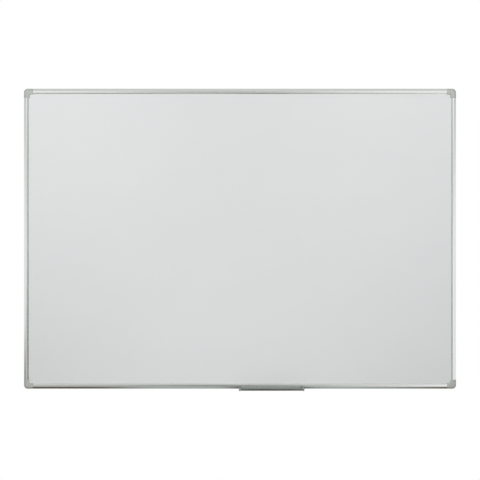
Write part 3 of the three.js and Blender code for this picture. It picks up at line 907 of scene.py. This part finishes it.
tray_place = Matrix.Translation(Vector((TRAY_CENTRE_X, 0, -HEIGHT / 2)) * MM)
tray_end = TRAY_LENGTH / 2 - END_CAP_LENGTH - GAP
tray = prism("dressed_pen_tray", along_x, tray_section(), -tray_end, tray_end)
tray.matrix_world = tray_place
finished(tray, tray_metal_painted_shade, "tray", ["pen_tray"])

right_cap = shifted(end_cap_mesh(), TRAY_LENGTH / 2 - END_CAP_LENGTH)
left_cap = linked("left_cap", right_cap.data.copy())
left_cap.data.transform(Matrix.Scale(-1, 4, (1, 0, 0)))
left_cap.data.flip_normals()
for end, cap in (("left", left_cap), ("right", right_cap)):
    cap.name = f"dressed_tray_end_cap_{end}"
    cap.matrix_world = tray_place
    finished(cap, cap_plastic, "tray", [f"tray_end_cap_{end}"])


# Panel

for node, material in (
    ("front_sheet", writing_lacquer()),
    ("core_panel", honeycomb_card()),
    ("back_sheet", galvanised_steel()),
):
    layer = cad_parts[node]
    layer.data.materials.clear()
    layer.data.materials.append(material)


# Studio

FLOOR_Z = -1.6
FLOOR_HALF = 5
FLOOR_FADE = (0.25, 0.55)  # from the floor's middle, as shares of its half width
FLOOR_GLOW = 0.5
AMBIENT = 0.4


def stage_plane(name, half_size, place, material):
    """Plane two units wide before it is scaled, so that its material knows where its edges are."""
    bm = bmesh.new()
    bmesh.ops.create_grid(bm, x_segments=1, y_segments=1, size=1)
    plane = new_object(name, bm)
    plane.data.materials.append(material)
    plane.matrix_world = place @ Matrix.Diagonal((*half_size, 1, 1))
    return plane


def seen_directly(tree):
    """1 for a ray that shows the background itself, by sight, in a reflection or through glass."""
    rays = add(tree, "LightPath").outputs
    seen = rays["Is Camera Ray"]
    for way in ("Is Glossy Ray", "Is Transmission Ray"):
        seen = add(tree, "Math", {0: seen, 1: rays[way]}, operation="MAXIMUM").outputs[0]
    return seen


def smooth_step(tree, value, start, end):
    """0 up to start, 1 from end on, and a soft S between them."""
    span = {"Value": value, "From Min": start, "From Max": end}
    return add(tree, "MapRange", span, interpolation_type="SMOOTHSTEP").outputs["Result"]


def floor_material():
    """Pale floor that takes the board's shadow and fades out into the white background."""
    material, tree = new_material("studio_floor")
    place = add(tree, "TexCoord").outputs["Object"]
    far = add(tree, "VectorMath", {0: place}, operation="LENGTH").outputs["Value"]
    fade = smooth_step(tree, far, *FLOOR_FADE)
    speckle = add(tree, "TexNoise", {"Vector": place, "Scale": 150.0, "Detail": 3.0}).outputs["Fac"]
    pale = blend_colour(tree, speckle, (0.44, 0.44, 0.435), (0.47, 0.47, 0.465))
    matt = add(tree, "BsdfDiffuse", {"Color": pale})
    glow = add(tree, "Emission", {"Strength": between(tree, seen_directly(tree), 0.0, FLOOR_GLOW)})
    floor = add(tree, "AddShader", {0: matt.outputs[0], 1: glow.outputs[0]})
    clear = add(tree, "BsdfTransparent")
    under = add(tree, "NewGeometry").outputs["Backfacing"]
    gone = add(tree, "Math", {0: fade, 1: under}, operation="MAXIMUM").outputs[0]
    mix = add(tree, "MixShader", {0: gone, 1: floor.outputs[0], 2: clear.outputs[0]})
    return surface(material, tree, mix)


def card_material(name, colour, softness):
    """Even tone that fades out over the outer part of the card, by a share of it each way."""
    material, tree = new_material(name)
    place = add(tree, "SeparateXYZ", {"Vector": add(tree, "TexCoord").outputs["Object"]})
    covers = []
    for axis, soft in zip("XY", softness):
        out = add(tree, "Math", {0: place.outputs[axis]}, operation="ABSOLUTE").outputs[0]
        fade = smooth_step(tree, out, 1 - soft, 1)
        covers.append(add(tree, "Math", {0: 1.0, 1: fade}, operation="SUBTRACT").outputs[0])
    cover = add(tree, "Math", {0: covers[0], 1: covers[1]}, operation="MULTIPLY")
    tone = add(tree, "Emission", {"Color": (*colour, 1)})
    clear = add(tree, "BsdfTransparent")
    mix = add(tree, "MixShader", {0: cover.outputs[0], 1: clear.outputs[0], 2: tone.outputs[0]})
    return surface(material, tree, mix)


def card(name, centre, half_size, facing, colour, softness):
    """Grey card that shapes reflections and is seen in nothing else."""
    turn = Vector(facing).to_track_quat("Z", "Y").to_matrix().to_4x4()
    place = Matrix.Translation(centre) @ turn
    plane = stage_plane(name, half_size, place, card_material(name, colour, softness))
    plane.visible_camera = False
    plane.visible_diffuse = False
    plane.visible_shadow = False


floor_place = Matrix.Translation((0, 0, FLOOR_Z))
stage_plane("studio_floor", (FLOOR_HALF, FLOOR_HALF), floor_place, floor_material())

# Each card's centre, half size, the way it faces, its tone and how soft its edges are
DOWN, UP, FRONT, RIGHT, LEFT = (0, 0, -1), (0, 0, 1), (0, 1, 0), (1, 0, 0), (-1, 0, 0)
for name, centre, half_size, facing, colour, softness in (
    ("card_ceiling", (0, -1.2, 2.6), (4, 3), DOWN, (0.62, 0.63, 0.61), (0.3, 0.2)),
    ("card_camera_side", (-0.15, -4.6, -0.3), (1.5, 2.4), FRONT, (0.30, 0.31, 0.30), (0.85, 0.5)),
    ("card_camera_left_high", (-1.9, -4.55, 0.58), (0.8, 0.55), FRONT, (0.64, 0.64, 0.63), (0.4, 0.4)),
    ("card_camera_left_low", (-1.6, -4.55, -1.15), (1.0, 0.9), FRONT, (0.42, 0.42, 0.41), (0.5, 0.5)),
    ("card_camera_right_high", (1.9, -4.55, 0.64), (0.8, 0.5), FRONT, (0.66, 0.66, 0.65), (0.4, 0.4)),
    ("card_camera_right_low", (1.15, -4.55, -1.3), (0.6, 0.5), FRONT, (0.60, 0.60, 0.59), (0.7, 0.5)),
    ("card_floor_front", (-0.5, -2.4, -1.5), (2.5, 2), UP, (0.54, 0.54, 0.52), (0.5, 0.1)),
    ("card_floor_front_left", (-1.35, -1.35, -1.495), (0.7, 0.55), UP, (0.72, 0.72, 0.70), (0.6, 0.6)),
    ("card_floor_middle", (0.1, -2.95, -1.49), (0.8, 1.55), UP, (0.1, 0.1, 0.09), (0.4, 0.1)),
    ("card_floor_tray", (0.15, 0.3, -1.45), (0.21, 1.5), UP, (0.01, 0.008, 0.005), (0.3, 0.1)),
    ("card_floor_wall", (0, 0.2, -1.48), (1.2, 0.8), UP, (0.38, 0.42, 0.40), (0.5, 0.2)),
    ("card_floor_left", (-1.6, -0.1, -1.47), (1.2, 1.1), UP, (0.13, 0.11, 0.085), (0.3, 0.2)),
    ("card_floor_right", (1.7, 0.2, -1.46), (1.2, 0.8), UP, (0.12, 0.10, 0.08), (0.5, 0.2)),
    ("card_floor_rear", (0, 3.4, -1.5), (4.5, 2.3), UP, (0.55, 0.56, 0.55), (0.3, 0.2)),
    ("card_left_slope", (-4, -3.1, 0.1), (1.4, 2), RIGHT, (0.36, 0.36, 0.37), (0.2, 0.2)),
    ("card_right_slope", (4, -3.1, 0.6), (1.4, 1.6), LEFT, (0.33, 0.33, 0.32), (0.2, 0.2)),
    ("card_right_low", (3.98, -3.1, -1.4), (1.4, 1.2), LEFT, (0.05, 0.04, 0.03), (0.2, 0.5)),
    ("card_left_wall", (-2.4, 0.3, 0), (1.6, 1.6), RIGHT, (0.82, 0.83, 0.82), (0.2, 0.3)),
    ("card_right_wall", (2.4, 0.3, 0), (1.6, 1.6), LEFT, (0.84, 0.85, 0.84), (0.2, 0.3)),
    ("card_left_low", (-2.2, -0.7, -1.15), (1.5, 0.75), RIGHT, (0.25, 0.26, 0.235), (0.2, 0.5)),
    ("card_left_high", (-2.2, 0, 1.1), (0.8, 0.9), RIGHT, (0.60, 0.61, 0.60), (0.2, 0.6)),
    ("card_right_high", (2.2, 0, 1.1), (0.8, 0.9), LEFT, (0.56, 0.58, 0.56), (0.2, 0.6)),
):
    card(name, centre, half_size, facing, colour, softness)

world = bpy.data.worlds.new("studio")
bpy.context.scene.world = world
world.use_nodes = True
world_tree = world.node_tree
world_tree.nodes.clear()
strength = between(world_tree, seen_directly(world_tree), AMBIENT, 1.0)
background = add(world_tree, "Background", {"Color": (1, 1, 1, 1), "Strength": strength})
add(world_tree, "OutputWorld", {"Surface": background.outputs[0]})


def lamp(name, location, target, size, power):
    """Soft light that metal and lacquer don't mirror."""
    data = bpy.data.lights.new(name, "AREA")
    data.shape = "RECTANGLE"
    data.size, data.size_y = size
    data.energy = power
    light = linked(name, data)
    light.location = location
    light.rotation_euler = (Vector(target) - Vector(location)).to_track_quat("-Z", "Y").to_euler()
    light.visible_camera = False
    light.visible_glossy = False


# Each lamp's place, what it points at, its size and its power
lamp("softbox_left", (-1.2, -2.1, 0.8), (-0.3, 0, 0.05), (1.3, 1.3), 19.4)
lamp("softbox_right", (1.15, -2.1, 0.9), (0.1, 0, 0.1), (1.3, 1.3), 17.5)
lamp("low_fill", (-0.06, -0.93, -0.62), (-0.06, 0, -0.62), (1.0, 0.4), 1.22)
lamp("softbox_rear", (0, 2.6, 1.2), (0, 0, 0), (2.0, 1.4), 30)


# Camera, straight on, with the tray's lower edge as far below the rail as in the photograph

CAMERA_DISTANCE = 4.4
SILHOUETTE_Y = -0.0139  # front end of the rails' flat outer side, which gives the board's outline
PIXELS_PER_METRE = 240
IMAGE_WIDTH = 480
BOARD_ABOVE_MIDDLE = 1.3 / PIXELS_PER_METRE
camera_data = bpy.data.cameras.new("camera")
camera_data.sensor_width = 36
camera_data.lens = CAMERA_DISTANCE * PIXELS_PER_METRE * camera_data.sensor_width / IMAGE_WIDTH
camera = linked("camera", camera_data)
camera.location = (0, SILHOUETTE_Y - CAMERA_DISTANCE, -BOARD_ABOVE_MIDDLE)
camera.rotation_euler = (math.radians(90), 0, 0)
bpy.context.scene.camera = camera
bpy.context.scene.view_settings.view_transform = "Standard"
